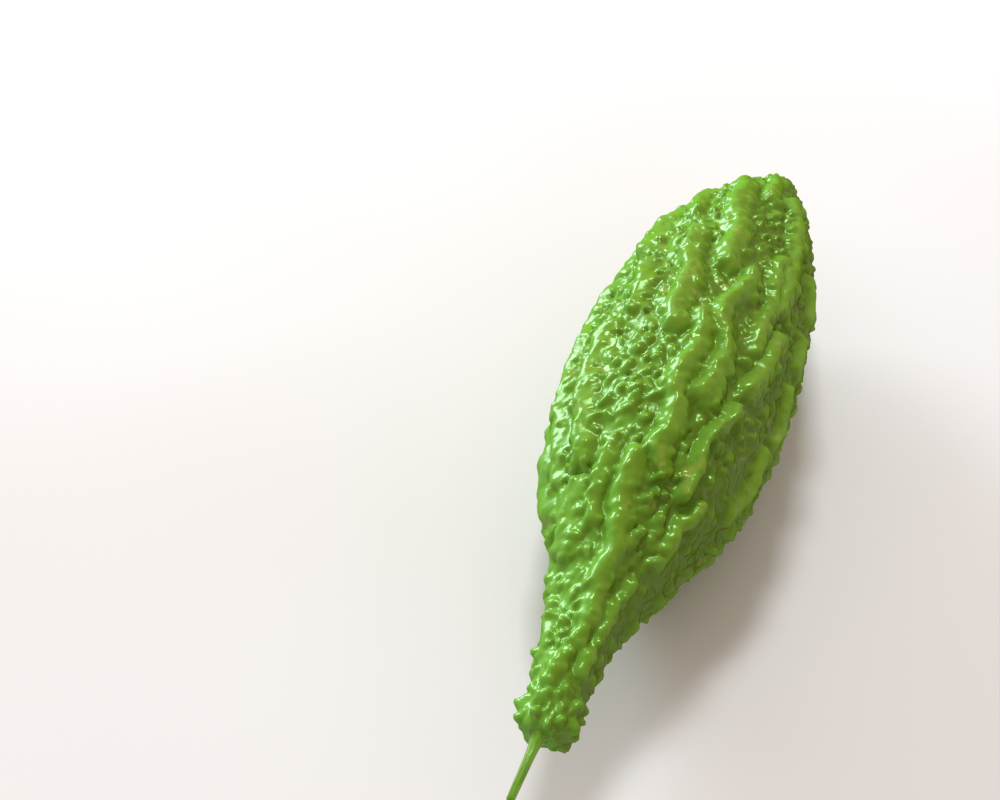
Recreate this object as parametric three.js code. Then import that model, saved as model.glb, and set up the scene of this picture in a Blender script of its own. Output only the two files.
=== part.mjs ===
import * as THREE from "three";

// A bitter gourd lying on its side, in millimetres, with +Z up.
// X runs from the neck to the blossom tip, and the origin lies under the middle of the gourd.

// The smooth body under the relief, from the neck to the tip. along is the distance from the neck end,
// radius is the body's own, height is how high its axis lies, and side is how far the axis drifts in Y.
const BODY = [
  { along: 0, radius: 0, height: 26.0, side: -1.0 },
  { along: 0.2, radius: 2.4, height: 26.0, side: -1.0 },
  { along: 1.4, radius: 4.5, height: 25.6, side: -1.4 },
  { along: 5, radius: 5.4, height: 25.3, side: -1.9 },
  { along: 13, radius: 5.5, height: 25.7, side: -0.9 },
  { along: 28, radius: 7.3, height: 26.4, side: -0.5 },
  { along: 50, radius: 14.3, height: 27.0, side: -0.7 },
  { along: 76, radius: 22.8, height: 27.1, side: -0.2 },
  { along: 104, radius: 25.7, height: 27.1, side: 0.2 },
  { along: 132, radius: 24.8, height: 27.6, side: 0.3 },
  { along: 160, radius: 20.2, height: 28.6, side: 0.2 },
  { along: 181, radius: 13.2, height: 29.6, side: -0.8 },
  { along: 193, radius: 6.9, height: 30.6, side: -2.2 },
  { along: 200.2, radius: 2.3, height: 31.6, side: -3.8 },
  { along: 202, radius: 0, height: 31.9, side: -4.3 },
];

// The outline is measured in this many samples a station, and its slope over this part of a station.
const FINE_SAMPLES = 40;
const SLOPE_REACH = 1e-3;
const PLACE_TOLERANCE = 1e-7;

// The relief fades out over these lengths, so that the stalk sits on bare skin and the tip stays sharp.
const NECK_BARE = 1.2;
const NECK_FADE = 4;
const TIP_FADE = 12;

// A welt's top is flat over this share of its reach, and its flank falls over the rest.
const FLAT_SHARE = 0.34;
// A welt reaches this many half widths, and further by the lean on the side of rising angles.
const FLANK = 0.95;
const LEAN = 0.65;
const LEAN_START = -0.5;
// How hard neighbouring lumps keep apart where they meet: a low value melts them together.
const MELT_POWER = 4;
// Long welts are walked in steps of this length.
const ROUTE_STEP = 3;

// Waves that bend the straight welts into grown ones: their length and how far they push.
const BENDS = [{ wave: 19, reach: 0.7 }, { wave: 8, reach: 0.4 }];
const BEND_SWIRL = 1.3;
// These keep the waves along X, Y and Z out of step.
const BEND_RATES = [0.7, 0.8, 0.9];
const BEND_STARTS = [2, 4];

// Welts of the side that faces up and forward. A route lists distance from the neck end and angle
// round the axis in degrees, counted from +Y over the top. half is the half width.
const WELTS = [
  { route: [[139, 71], [127, 76], [119, 79], [111, 81], [100, 83]], half: 3.4, height: 3.0 },
  { route: [[104, 97], [91, 98], [81, 98], [71, 101], [62, 103]], half: 3.3, height: 3.2 },
  { route: [[124, 111], [112, 106], [104, 106], [96, 111], [87, 114], [80, 112]], half: 3.2, height: 3.2 },
  { route: [[174, 78], [160, 85], [147, 92], [135, 95], [126, 98]], half: 3.4, height: 3.0 },
  { route: [[140, 126], [122, 127], [103, 128]], half: 2.6, height: 2.5 },
  { route: [[172, 128], [156, 134], [134, 135], [122, 133]], half: 3.2, height: 2.8 },
  { route: [[112, 140], [102, 137], [91, 135]], half: 3.2, height: 3.0 },
  { route: [[99, 49], [92, 44], [84, 43], [74, 47], [62, 49]], half: 3.4, height: 3.0 },
  { route: [[159, 27], [150, 32], [142, 38], [135, 40]], half: 4.2, height: 3.5 },
  { route: [[61, 87], [54, 87], [47, 92], [37, 95], [25, 94]], half: 2.9, height: 2.6 },
  { route: [[54, 44], [47, 36], [41, 35]], half: 4.2, height: 2.2 },
  { route: [[68, 6], [60, 4], [53, 6]], half: 4.8, height: 3.6 },
  { route: [[84, 131], [74, 127], [67, 128], [59, 127]], half: 2.3, height: 3.4, lean: 0 },
  { route: [[60, 142], [53, 140], [44, 145]], half: 2.4, height: 2.2 },
  { route: [[104, 162], [97, 168], [90, 168]], half: 3.8, height: 2.4 },
  { route: [[84, 166], [76, 170], [68, 172]], half: 3.4, height: 2.3 },
  { route: [[122, 158], [114, 160]], half: 3.8, height: 2.4 },
  { route: [[146, 156], [134, 161]], half: 3.6, height: 2.3 },
  { route: [[36, 132], [24, 129], [14, 133]], half: 1.9, height: 1.8 },
  { route: [[31, 97], [24, 94], [15, 85], [10, 76]], half: 1.9, height: 1.7 },
  { route: [[62, 70], [54, 66], [46, 68]], half: 2.6, height: 2.2 },
  { route: [[124, 52], [114, 56], [106, 58]], half: 3.0, height: 2.6 },
  { route: [[170, 48], [160, 55], [152, 58]], half: 3.0, height: 2.4 },
  { route: [[186, 96], [176, 104], [166, 108]], half: 2.6, height: 2.2 },
];

// Single knobs that stand out of the neck and the shaded edge, each at a distance and an angle as above.
const KNOBS = [
  { along: 5.4, degrees: 15, half: 2.3, height: 2.5 },
  { along: 2.8, degrees: 12, half: 1.6, height: 2.2 },
  { along: 8, degrees: 33, half: 2.0, height: 1.2 },
  { along: 7.4, degrees: 150, half: 2.3, height: 1.6 },
  { along: 3, degrees: 154, half: 1.9, height: 1.6 },
  { along: 14.6, degrees: 164, half: 2.2, height: 1.3 },
  { along: 19.8, degrees: 161, half: 2.3, height: 1.3 },
  { along: 24.7, degrees: 166, half: 2.3, height: 1.2 },
  { along: 11.8, degrees: 74, half: 1.9, height: 1.1 },
  { along: 20.9, degrees: 69, half: 2.0, height: 1.1 },
  { along: 18.8, degrees: 117, half: 2.0, height: 1.1 },
  { along: 9.1, degrees: 110, half: 1.8, height: 1.0 },
  { along: 33, degrees: 187, half: 2.3, height: 1.8 },
  { along: 42, degrees: 189, half: 2.6, height: 2.3 },
  { along: 61, degrees: 188, half: 2.8, height: 2.6 },
  { along: 67, degrees: 187, half: 2.8, height: 2.6 },
];

// Ribs of the far side and the underside, each broken into welts by the same seeded rule.
// share is how much of the full height a rib reaches.
const HIDDEN_RIBS = [
  { degrees: 198, share: 0.55 },
  { degrees: 217, share: 0.8 },
  { degrees: 237, share: 1 },
  { degrees: 259, share: 1 },
  { degrees: 281, share: 1 },
  { degrees: 305, share: 1 },
  { degrees: 331, share: 1 },
  { degrees: 357, share: 1 },
  { degrees: 383, share: 1 },
];
const RIB_START = 16;
const RIB_START_DRIFT = 8;
const RIB_END = 184;
const RIB_OVERSHOOT = 4;
const RIB_SEED = 41;
const RIB_LENGTH = [15, 34];
const RIB_GAP = [2.5, 6];
const RIB_WANDER = 5;
const RIB_WAVE = 21;
const RIB_HALF = [2.5, 3.7];
const RIB_HEIGHT = [2.2, 3.1];
// A rib's welt bends at these shares of its length, by the wave and a draw from this range.
const RIB_SHARES = [0, 0.5, 1];
const RIB_NOISE = [-0.5, 0.5];
// Below this body radius the welts shrink with the body, down to the least share.
const FULL_RADIUS = 20;
const LEAST_SHARE = 0.5;

// Tubercles between the welts, set in staggered rows and jittered by a seeded rule.
const TUBERCLE_SEED = 7;
const TUBERCLE_PITCH = 6.2;
const TUBERCLE_JITTER = 0.3;
// Every other row is turned by this part of a step. Rows drift by this part of a station, and keep
// this far from either pole.
const TUBERCLE_STAGGER = 0.5;
const TUBERCLE_DRIFT = 0.1;
const POLE_STATIONS = [0.9, 1.1];
const TUBERCLE_HALF = [2.6, 4.0];
const TUBERCLE_HEIGHT = [0.8, 1.9];
const TUBERCLE_STRETCH = 1.25;
const TUBERCLE_FLAT = 0.05;
const TUBERCLE_LEAST_SHARE = 0.62;
const LEAST_IN_ROW = 4;
// On a welt a tubercle keeps only part of its height: the ground counts as welt between these heights.
const TUBERCLE_CALM = 0.6;
const WELT_HEIGHTS = [0.6, 1.9];

// Points of the skin stand about this far apart. The relief adds to the body's radius.
const SKIN_PITCH = 2.12;
const MEAN_RELIEF = 1.5;
const LEAST_SIDES = 8;

// The stalk: a thin dried stem that flares where it leaves the neck.
const STALK_LENGTH = 14.5;
const STALK_GAP = 0.3;
const STALK_RADII = [2.0, 1.5, 1.2, 1.05, 0.95, 0.85, 0.6];
const STALK_SIDES = 12;
const STALK_RING_POWER = 1.2;
const STALK_END_DOME = 0.4;
const STALK_RISE = -1.6;
const STALK_SWAY = 0.5;

// The constants of the seeded rule.
const RANDOM_FACTOR = 1664525;
const RANDOM_STEP = 1013904223;
const RANDOM_SPAN = 2 ** 32;

const SKIN_COLOUR = 0x5d8f2f;
const STALK_COLOUR = 0x7fb04a;

function makeRandom(seed) {
  let state = seed;
  return () => {
    state = (Math.imul(state, RANDOM_FACTOR) + RANDOM_STEP) >>> 0;
    return state / RANDOM_SPAN;
  };
}

function between(range, share) {
  return range[0] + (range[1] - range[0]) * share;
}

function smoothStep(low, high, value) {
  const t = Math.min(1, Math.max(0, (value - low) / (high - low)));
  return t * t * (3 - 2 * t);
}

function catmull(a, b, c, d, t) {
  return b + 0.5 * t * (c - a + t * (2 * a - 5 * b + 4 * c - d + t * (3 * (b - c) + d - a)));
}

// The body's axis and radius at a place given in stations and parts of a station.
function bodyAt(place) {
  const last = BODY.length - 1;
  const index = Math.min(last - 1, Math.floor(place));
  const t = place - index;
  const picks = [index - 1, index, index + 1, index + 2].map((i) => BODY[Math.min(last, Math.max(0, i))]);
  const value = (key) => catmull(...picks.map((station) => station[key]), t);
  return {
    along: value("along"),
    radius: Math.max(0, value("radius")),
    height: value("height"),
    side: value("side"),
  };
}

// Places along the body's outline at equal steps, from the neck's pole to the tip's pole.
function evenPlaces(step) {
  const fine = FINE_SAMPLES * (BODY.length - 1);
  const lengths = [0];
  let before = bodyAt(0);
  for (let i = 1; i <= fine; i += 1) {
    const here = bodyAt((i / fine) * (BODY.length - 1));
    lengths.push(lengths[i - 1] + Math.hypot(here.along - before.along, here.radius - before.radius));
    before = here;
  }
  const total = lengths[fine];
  const count = Math.round(total / step);
  const places = [];
  let i = 0;
  for (let k = 0; k <= count; k += 1) {
    const wanted = (k / count) * total;
    while (i < fine - 1 && lengths[i + 1] < wanted) {
      i += 1;
    }
    const part = (wanted - lengths[i]) / (lengths[i + 1] - lengths[i]);
    places.push(((i + part) / fine) * (BODY.length - 1));
  }
  return places;
}

// The place in stations that lies a given distance from the neck end.
function placeOf(along) {
  let low = 0;
  let high = BODY.length - 1;
  while (high - low > PLACE_TOLERANCE) {
    const middle = (low + high) / 2;
    if (bodyAt(middle).along < along) {
      low = middle;
    } else {
      high = middle;
    }
  }
  return (low + high) / 2;
}

function skinPoint(body, degrees) {
  const angle = THREE.MathUtils.degToRad(degrees);
  return new THREE.Vector3(
    body.along,
    body.side + body.radius * Math.cos(angle),
    body.height + body.radius * Math.sin(angle),
  );
}

function skinNormal(place, degrees) {
  const before = bodyAt(Math.max(0, place - SLOPE_REACH));
  const after = bodyAt(Math.min(BODY.length - 1, place + SLOPE_REACH));
  const run = after.along - before.along;
  const rise = after.radius - before.radius;
  const angle = THREE.MathUtils.degToRad(degrees);
  return new THREE.Vector3(-rise, run * Math.cos(angle), run * Math.sin(angle)).normalize();
}

// The direction of rising angle round the axis.
function acrossAt(degrees) {
  const angle = THREE.MathUtils.degToRad(degrees);
  return new THREE.Vector3(0, -Math.sin(angle), Math.cos(angle));
}

// Bends space a little, so that straight forms come out grown.
function bend(point, { wave, reach }) {
  const [x, y, z] = point.clone().multiplyScalar((2 * Math.PI) / wave).toArray();
  return new THREE.Vector3(
    point.x + reach * Math.sin(y + BEND_SWIRL * Math.cos(BEND_RATES[0] * z)),
    point.y + reach * Math.sin(z + BEND_SWIRL * Math.cos(BEND_RATES[1] * x) + BEND_STARTS[0]),
    point.z + reach * Math.sin(BEND_RATES[2] * x + BEND_SWIRL * Math.cos(BEND_RATES[0] * y) + BEND_STARTS[1]),
  );
}

// A welt as a chain of short rods on the smooth body.
function layWelt(welt) {
  const points = [];
  for (let i = 0; i + 1 < welt.route.length; i += 1) {
    const [startX, startAngle] = welt.route[i];
    const [endX, endAngle] = welt.route[i + 1];
    const steps = Math.max(1, Math.round(Math.abs(endX - startX) / ROUTE_STEP));
    for (let k = 0; k < steps; k += 1) {
      const t = k / steps;
      points.push([startX + (endX - startX) * t, startAngle + (endAngle - startAngle) * t]);
    }
  }
  points.push(welt.route[welt.route.length - 1]);
  const laid = points.map(([along, degrees]) => skinPoint(bodyAt(placeOf(along)), degrees));
  const rods = laid.slice(1).map((end, i) => ({ start: laid[i], end }));
  return { rods, half: welt.half, height: welt.height, lean: welt.lean ?? LEAN };
}

function shrink(radius) {
  return Math.min(1, Math.max(LEAST_SHARE, radius / FULL_RADIUS));
}

// The welts of the hidden ribs: length, gap, wander, width and height are drawn one after another.
function hiddenWelts() {
  const random = makeRandom(RIB_SEED);
  const welts = [];
  for (const rib of HIDDEN_RIBS) {
    let start = RIB_START + RIB_START_DRIFT * random();
    while (start < RIB_END) {
      const share = shrink(bodyAt(placeOf(start)).radius);
      const length = between(RIB_LENGTH, random()) * share;
      const end = Math.min(RIB_END + RIB_OVERSHOOT, start + length);
      const route = RIB_SHARES.map((t) => {
        const along = start + (end - start) * t;
        const wave = Math.sin(along / RIB_WAVE + rib.degrees);
        return [along, rib.degrees + RIB_WANDER * (wave + between(RIB_NOISE, random()))];
      });
      welts.push({
        route,
        half: between(RIB_HALF, random()) * share,
        height: between(RIB_HEIGHT, random()) * share * rib.share,
      });
      start = end + between(RIB_GAP, random()) * share;
    }
  }
  return welts;
}

function layTubercles() {
  const random = makeRandom(TUBERCLE_SEED);
  const tubercles = [];
  const [firstPlace, lastGap] = POLE_STATIONS;
  evenPlaces(TUBERCLE_PITCH).slice(1, -1).forEach((place, row) => {
    const body = bodyAt(place);
    const share = Math.max(TUBERCLE_LEAST_SHARE, shrink(body.radius));
    const round = 2 * Math.PI * body.radius;
    const count = Math.max(LEAST_IN_ROW, Math.round(round / (TUBERCLE_PITCH * share)));
    for (let i = 0; i < count; i += 1) {
      const stagger = TUBERCLE_STAGGER * (row % 2);
      const turn = (i + stagger + TUBERCLE_JITTER * (2 * random() - 1)) / count;
      const drifted = place + TUBERCLE_DRIFT * (2 * random() - 1);
      const shifted = Math.min(BODY.length - lastGap, Math.max(firstPlace, drifted));
      tubercles.push({
        centre: skinPoint(bodyAt(shifted), 360 * turn),
        half: between(TUBERCLE_HALF, random()) * share,
        height: between(TUBERCLE_HEIGHT, random()) * share,
      });
    }
  });
  return tubercles;
}

function layKnob({ along, degrees, half, height }) {
  return { centre: skinPoint(bodyAt(placeOf(along)), degrees), half, height };
}

const welts = [...WELTS, ...hiddenWelts()].map(layWelt);
const tubercles = [...layTubercles(), ...KNOBS.map(layKnob)];

function offsetFromRod(point, rod) {
  const way = rod.end.clone().sub(rod.start);
  const offset = point.clone().sub(rod.start);
  const t = Math.min(1, Math.max(0, offset.dot(way) / way.lengthSq()));
  return offset.addScaledVector(way, -t);
}

function weltHeight(point, across, welt) {
  const offsets = welt.rods.map((rod) => offsetFromRod(point, rod));
  const offset = offsets.reduce((best, next) => (next.lengthSq() < best.lengthSq() ? next : best));
  const away = offset.length();
  const side = away > 0 ? offset.dot(across) / away : 0;
  const reach = welt.half * (FLANK + welt.lean * smoothStep(LEAN_START, 1, side));
  return welt.height * (1 - smoothStep(FLAT_SHARE, 1, away / reach));
}

function tubercleHeight(point, tubercle) {
  const along = (point.x - tubercle.centre.x) / TUBERCLE_STRETCH;
  const across = Math.hypot(point.y - tubercle.centre.y, point.z - tubercle.centre.z);
  return tubercle.height * (1 - smoothStep(TUBERCLE_FLAT, 1, Math.hypot(along, across) / tubercle.half));
}

// Melts heights into one, a little above the highest of them.
function melt(heights) {
  return heights.reduce((sum, height) => sum + height ** MELT_POWER, 0) ** (1 / MELT_POWER);
}

function reliefAt(point, degrees) {
  const bent = BENDS.reduce(bend, point);
  const across = acrossAt(degrees);
  const length = BODY[BODY.length - 1].along;
  const fade = smoothStep(NECK_BARE, NECK_FADE, point.x) * smoothStep(0, TIP_FADE, length - point.x);
  const ridge = fade * melt(welts.map((welt) => weltHeight(bent, across, welt)));
  const warts = fade * melt(tubercles.map((tubercle) => tubercleHeight(point, tubercle)));
  return ridge + warts * (1 - TUBERCLE_CALM * smoothStep(...WELT_HEIGHTS, ridge));
}

function raisedPoint(place, degrees) {
  const point = skinPoint(bodyAt(place), degrees);
  point.addScaledVector(skinNormal(place, degrees), reliefAt(point, degrees));
  point.z = Math.max(0, point.z);
  return point;
}

// Closes rings of points, each turning the same way, into one skin with a point at either end.
// Rings may hold different numbers of points: the shorter step is always taken first.
function closeRings(first, rings, last) {
  const points = [first];
  const faces = [];
  const starts = rings.map((ring) => {
    const start = points.length;
    points.push(...ring);
    return start;
  });
  points.push(last);
  const end = points.length - 1;
  const firstRing = rings[0].length;
  for (let i = 0; i < firstRing; i += 1) {
    faces.push(0, starts[0] + ((i + 1) % firstRing), starts[0] + i);
  }
  for (let r = 0; r + 1 < rings.length; r += 1) {
    const m = rings[r].length;
    const n = rings[r + 1].length;
    let i = 0;
    let j = 0;
    while (i < m || j < n) {
      const here = starts[r] + (i % m);
      const there = starts[r + 1] + (j % n);
      if (j >= n || (i < m && (i + 1) / m <= (j + 1) / n)) {
        faces.push(here, starts[r] + ((i + 1) % m), there);
        i += 1;
      } else {
        faces.push(here, starts[r + 1] + ((j + 1) % n), there);
        j += 1;
      }
    }
  }
  const lastStart = starts[starts.length - 1];
  const lastRing = rings[rings.length - 1].length;
  for (let i = 0; i < lastRing; i += 1) {
    faces.push(end, lastStart + i, lastStart + ((i + 1) % lastRing));
  }
  const geometry = new THREE.BufferGeometry().setFromPoints(points);
  geometry.setIndex(faces);
  geometry.computeVertexNormals();
  return geometry;
}

function makeFruit() {
  const places = evenPlaces(SKIN_PITCH);
  const rings = places.slice(1, -1).map((place) => {
    const round = 2 * Math.PI * (bodyAt(place).radius + MEAN_RELIEF);
    const sides = Math.max(LEAST_SIDES, Math.round(round / SKIN_PITCH));
    return Array.from({ length: sides }, (_, i) => raisedPoint(place, (360 * i) / sides));
  });
  const geometry = closeRings(skinPoint(bodyAt(0), 0), rings, skinPoint(bodyAt(BODY.length - 1), 0));
  const material = new THREE.MeshStandardMaterial({ color: SKIN_COLOUR, roughness: 0.35, metalness: 0 });
  const mesh = new THREE.Mesh(geometry, material);
  mesh.name = "fruit";
  return mesh;
}

function makeStalk() {
  const root = skinPoint(bodyAt(0), 0);
  const count = STALK_RADII.length - 1;
  const middleAt = (t) => new THREE.Vector3(
    root.x - STALK_GAP - STALK_LENGTH * t,
    root.y + STALK_SWAY * t * t,
    root.z + STALK_RISE * t * t,
  );
  const rings = STALK_RADII.map((radius, k) => {
    const middle = middleAt((k / count) ** STALK_RING_POWER);
    return Array.from({ length: STALK_SIDES }, (_, i) => {
      const angle = (-2 * Math.PI * i) / STALK_SIDES;
      return new THREE.Vector3(
        middle.x,
        middle.y + radius * Math.cos(angle),
        middle.z + radius * Math.sin(angle),
      );
    });
  });
  const end = middleAt(1);
  end.x -= STALK_END_DOME;
  const geometry = closeRings(middleAt(0), rings, end);
  const material = new THREE.MeshStandardMaterial({ color: STALK_COLOUR, roughness: 0.45, metalness: 0 });
  const mesh = new THREE.Mesh(geometry, material);
  mesh.name = "stalk";
  return mesh;
}

// Moves the gourd so that the origin lies under the middle of its box.
const gourd = new THREE.Group();
gourd.add(makeFruit(), makeStalk());
const box = new THREE.Box3().setFromObject(gourd);
const middle = box.getCenter(new THREE.Vector3());
gourd.position.set(-middle.x, -middle.y, -box.min.z);
gourd.updateMatrixWorld(true);

export default gourd;
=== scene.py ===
"""Dresses a bitter gourd that lies on its side.

The rind is raised from a smooth spindle by long welts and round warts, then pebbled by geometry nodes.
A thin stalk leaves the neck. Shapes are worked out in millimetres and become metres in the meshes.
"""
import logging
import math
from dataclasses import dataclass
from dataclasses import field
from enum import Enum

import bpy
import numpy as np
from mathutils import Matrix
from mathutils import Vector


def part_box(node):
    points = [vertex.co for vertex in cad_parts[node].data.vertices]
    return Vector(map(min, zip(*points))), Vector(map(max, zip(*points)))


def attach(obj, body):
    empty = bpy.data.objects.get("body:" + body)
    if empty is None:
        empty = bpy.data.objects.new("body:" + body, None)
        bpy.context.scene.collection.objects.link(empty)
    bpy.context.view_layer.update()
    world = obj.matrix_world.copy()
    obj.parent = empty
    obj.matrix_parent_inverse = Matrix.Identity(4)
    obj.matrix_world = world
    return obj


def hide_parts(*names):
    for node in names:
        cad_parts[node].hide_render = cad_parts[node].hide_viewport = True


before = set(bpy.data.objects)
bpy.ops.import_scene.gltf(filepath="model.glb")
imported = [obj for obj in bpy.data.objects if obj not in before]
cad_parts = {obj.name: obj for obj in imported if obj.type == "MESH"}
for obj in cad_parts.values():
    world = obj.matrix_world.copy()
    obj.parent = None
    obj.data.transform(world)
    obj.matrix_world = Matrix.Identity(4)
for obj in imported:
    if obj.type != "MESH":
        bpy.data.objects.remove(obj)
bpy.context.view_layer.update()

LOG = logging.getLogger("gourd")
MM = 0.001
# How far the body's own axis lies from the middle of the gourd's box in Y, in mm.
AXIS_SHIFT = -0.558
# Factor, step and span of the seeded draw.
DRAW_FACTOR = 1664525
DRAW_STEP = 1013904223
DRAW_SPAN = 2 ** 32
# Between these values a noise goes from its low to its high.
NOISE_SPAN = (0.3, 0.7)

# A route lists distance from the neck end in mm and angle round the axis in degrees, from +Y over the top.
Route = tuple[tuple[float, float], ...]
Span = tuple[float, float]
Socket = bpy.types.NodeSocket
Sockets = bpy.types.bpy_prop_collection


class Slot(Enum):
    """The record's material slots."""

    SKIN = "skin"
    STALK = "stalk"


def smooth_step(low: float, high: float, value: np.ndarray) -> np.ndarray:
    """Eases from 0 to 1 as a value goes from low to high.

    Args:
        low: Value that gives 0.
        high: Value that gives 1.
        value: Values to ease.

    Returns:
        The eased values.
    """
    t = np.clip((np.asarray(value, float) - low) / (high - low), 0.0, 1.0)
    return t * t * (3.0 - 2.0 * t)


def between(ends: Span, share: float) -> float:
    """Value that lies a share of the way between two ends.

    Args:
        ends: The two ends.
        share: From 0 at the first end to 1 at the second.

    Returns:
        The value.
    """
    return ends[0] + (ends[1] - ends[0]) * share


@dataclass
class SeededDraw:
    """Random numbers that come out alike on every run."""

    state: int

    def next(self) -> float:
        """Draws the next number, from 0 up to 1.

        Returns:
            The number.
        """
        self.state = (self.state * DRAW_FACTOR + DRAW_STEP) % DRAW_SPAN
        return self.state / DRAW_SPAN


@dataclass
class Spindle:
    """The smooth body under the relief: its axis and radius from the neck to the blossom tip.

    Each station holds distance from the neck end, radius, height of the axis and its drift in Y.
    """

    stations: tuple[tuple[float, float, float, float], ...] = (
        (0, 0, 26.0, -1.0),
        (0.2, 2.4, 26.0, -1.0),
        (1.4, 4.5, 25.6, -1.4),
        (5, 5.4, 25.3, -1.9),
        (13, 5.5, 25.7, -0.9),
        (28, 7.3, 26.4, -0.5),
        (50, 14.3, 27.0, -0.7),
        (76, 22.8, 27.1, -0.2),
        (104, 25.7, 27.1, 0.2),
        (132, 24.8, 27.6, 0.3),
        (160, 20.2, 28.6, 0.2),
        (181, 13.2, 29.6, -0.8),
        (193, 6.9, 30.6, -2.2),
        (200.2, 2.3, 31.6, -3.8),
        (202, 0, 31.9, -4.3),
    )
    samples_per_station: int = 40
    fine_factor: int = 50
    slope_reach: float = 1e-3

    @property
    def last(self) -> int:
        """Number of the tip's station."""
        return len(self.stations) - 1

    @property
    def length(self) -> float:
        """Distance from the neck end to the tip."""
        return self.stations[-1][0]

    def at(self, place: np.ndarray) -> np.ndarray:
        """Reads the body at places counted in stations and parts of a station.

        Args:
            place: Places from 0 at the neck end to last at the tip.

        Returns:
            An array whose last axis holds along, radius, height and side.
        """
        table = np.array(self.stations, float)
        place = np.asarray(place, float)
        index = np.clip(np.floor(place).astype(int), 0, self.last - 1)
        t = (place - index)[..., None]
        a, b, c, d = (table[np.clip(index + step, 0, self.last)] for step in (-1, 0, 1, 2))
        found = b + 0.5 * t * (c - a + t * (2 * a - 5 * b + 4 * c - d + t * (3 * (b - c) + d - a)))
        found[..., 1] = np.maximum(found[..., 1], 0.0)
        return found

    def even_places(self, step: float) -> np.ndarray:
        """Places along the outline at equal steps, from pole to pole.

        Args:
            step: Wanted distance between them, in mm.

        Returns:
            The places, in stations.
        """
        fine = np.linspace(0, self.last, self.samples_per_station * self.last + 1)
        outline = self.at(fine)[:, :2]
        lengths = np.concatenate([[0], np.cumsum(np.linalg.norm(np.diff(outline, axis=0), axis=1))])
        count = round(lengths[-1] / step)
        return np.interp(np.linspace(0, lengths[-1], count + 1), lengths, fine)

    def place_of(self, along: np.ndarray) -> np.ndarray:
        """Places that lie given distances from the neck end.

        Args:
            along: The distances, in mm.

        Returns:
            The places, in stations.
        """
        count = self.fine_factor * self.samples_per_station * self.last
        fine = np.linspace(0, self.last, count + 1)
        return np.interp(along, self.at(fine)[:, 0], fine)

    def skin(self, place: np.ndarray, degrees: np.ndarray) -> np.ndarray:
        """Points on the smooth body.

        Args:
            place: Places in stations.
            degrees: Angles round the axis.

        Returns:
            The points, in mm.
        """
        body = self.at(place)
        angle = np.radians(degrees)
        return np.stack([
            body[..., 0] + 0 * angle,
            body[..., 3] + body[..., 1] * np.cos(angle),
            body[..., 2] + body[..., 1] * np.sin(angle),
        ], axis=-1)

    def outward(self, place: np.ndarray, degrees: np.ndarray) -> np.ndarray:
        """Directions that point out of the smooth body.

        Args:
            place: Places in stations.
            degrees: Angles round the axis.

        Returns:
            Directions of length 1.
        """
        after = self.at(np.minimum(place + self.slope_reach, self.last))
        before = self.at(np.maximum(place - self.slope_reach, 0))
        run = after[..., 0] - before[..., 0]
        rise = after[..., 1] - before[..., 1]
        angle = np.radians(degrees)
        out = np.stack([-rise, run * np.cos(angle), run * np.sin(angle)], axis=-1)
        return out / np.linalg.norm(out, axis=-1, keepdims=True)


@dataclass(frozen=True)
class Welt:
    """One long smooth swelling: where it runs, half its width and its height, in mm.

    Its lean says how much wider the flank on the side of rising angles is, as a share of half.
    """

    route: Route
    half: float
    height: float
    lean: float = 0.65
    step: float = 3.0

    def rods(self, spindle: Spindle) -> np.ndarray:
        """Lays the welt on the body as a chain of points.

        Args:
            spindle: The body that carries it.

        Returns:
            The chain's points, in mm.
        """
        spots = []
        for (start_x, start_angle), (end_x, end_angle) in zip(self.route, self.route[1:]):
            steps = max(1, round(abs(end_x - start_x) / self.step))
            for k in range(steps):
                t = k / steps
                spots.append((start_x + (end_x - start_x) * t, start_angle + (end_angle - start_angle) * t))
        spots.append(self.route[-1])
        along, degrees = np.array(spots, float).T
        return spindle.skin(spindle.place_of(along), degrees)


SEEN_WELTS = (
    Welt(((139, 71), (127, 76), (119, 79), (111, 81), (100, 83)), 3.4, 3.0),
    Welt(((104, 97), (91, 98), (81, 98), (71, 101), (62, 103)), 3.3, 3.2),
    Welt(((124, 111), (112, 106), (104, 106), (96, 111), (87, 114), (80, 112)), 3.2, 3.2),
    Welt(((174, 78), (160, 85), (147, 92), (135, 95), (126, 98)), 3.4, 3.0),
    Welt(((140, 126), (122, 127), (103, 128)), 2.6, 2.5),
    Welt(((172, 128), (156, 134), (134, 135), (122, 133)), 3.2, 2.8),
    Welt(((112, 140), (102, 137), (91, 135)), 3.2, 3.0),
    Welt(((99, 49), (92, 44), (84, 43), (74, 47), (62, 49)), 3.4, 3.0),
    Welt(((159, 27), (150, 32), (142, 38), (135, 40)), 4.2, 3.5),
    Welt(((61, 87), (54, 87), (47, 92), (37, 95), (25, 94)), 2.9, 2.6),
    Welt(((54, 44), (47, 36), (41, 35)), 4.2, 2.2),
    Welt(((68, 6), (60, 4), (53, 6)), 4.8, 3.6),
    Welt(((84, 131), (74, 127), (67, 128), (59, 127)), 2.3, 3.4, 0.0),
    Welt(((60, 142), (53, 140), (44, 145)), 2.4, 2.2),
    Welt(((104, 162), (97, 168), (90, 168)), 3.6, 2.3),
    Welt(((84, 166), (76, 170), (68, 172)), 3.4, 2.3),
    Welt(((122, 158), (114, 160)), 3.6, 2.3),
    Welt(((146, 156), (134, 161)), 3.4, 2.2),
    Welt(((36, 132), (24, 129), (14, 133)), 1.9, 1.8),
    Welt(((31, 97), (24, 94), (15, 85), (10, 76)), 1.9, 1.7),
    Welt(((62, 70), (54, 66), (46, 68)), 2.6, 2.2),
    Welt(((124, 52), (114, 56), (106, 58)), 3.0, 2.6),
    Welt(((170, 48), (160, 55), (152, 58)), 3.0, 2.4),
    Welt(((186, 96), (176, 104), (166, 108)), 2.6, 2.2),
)


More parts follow.
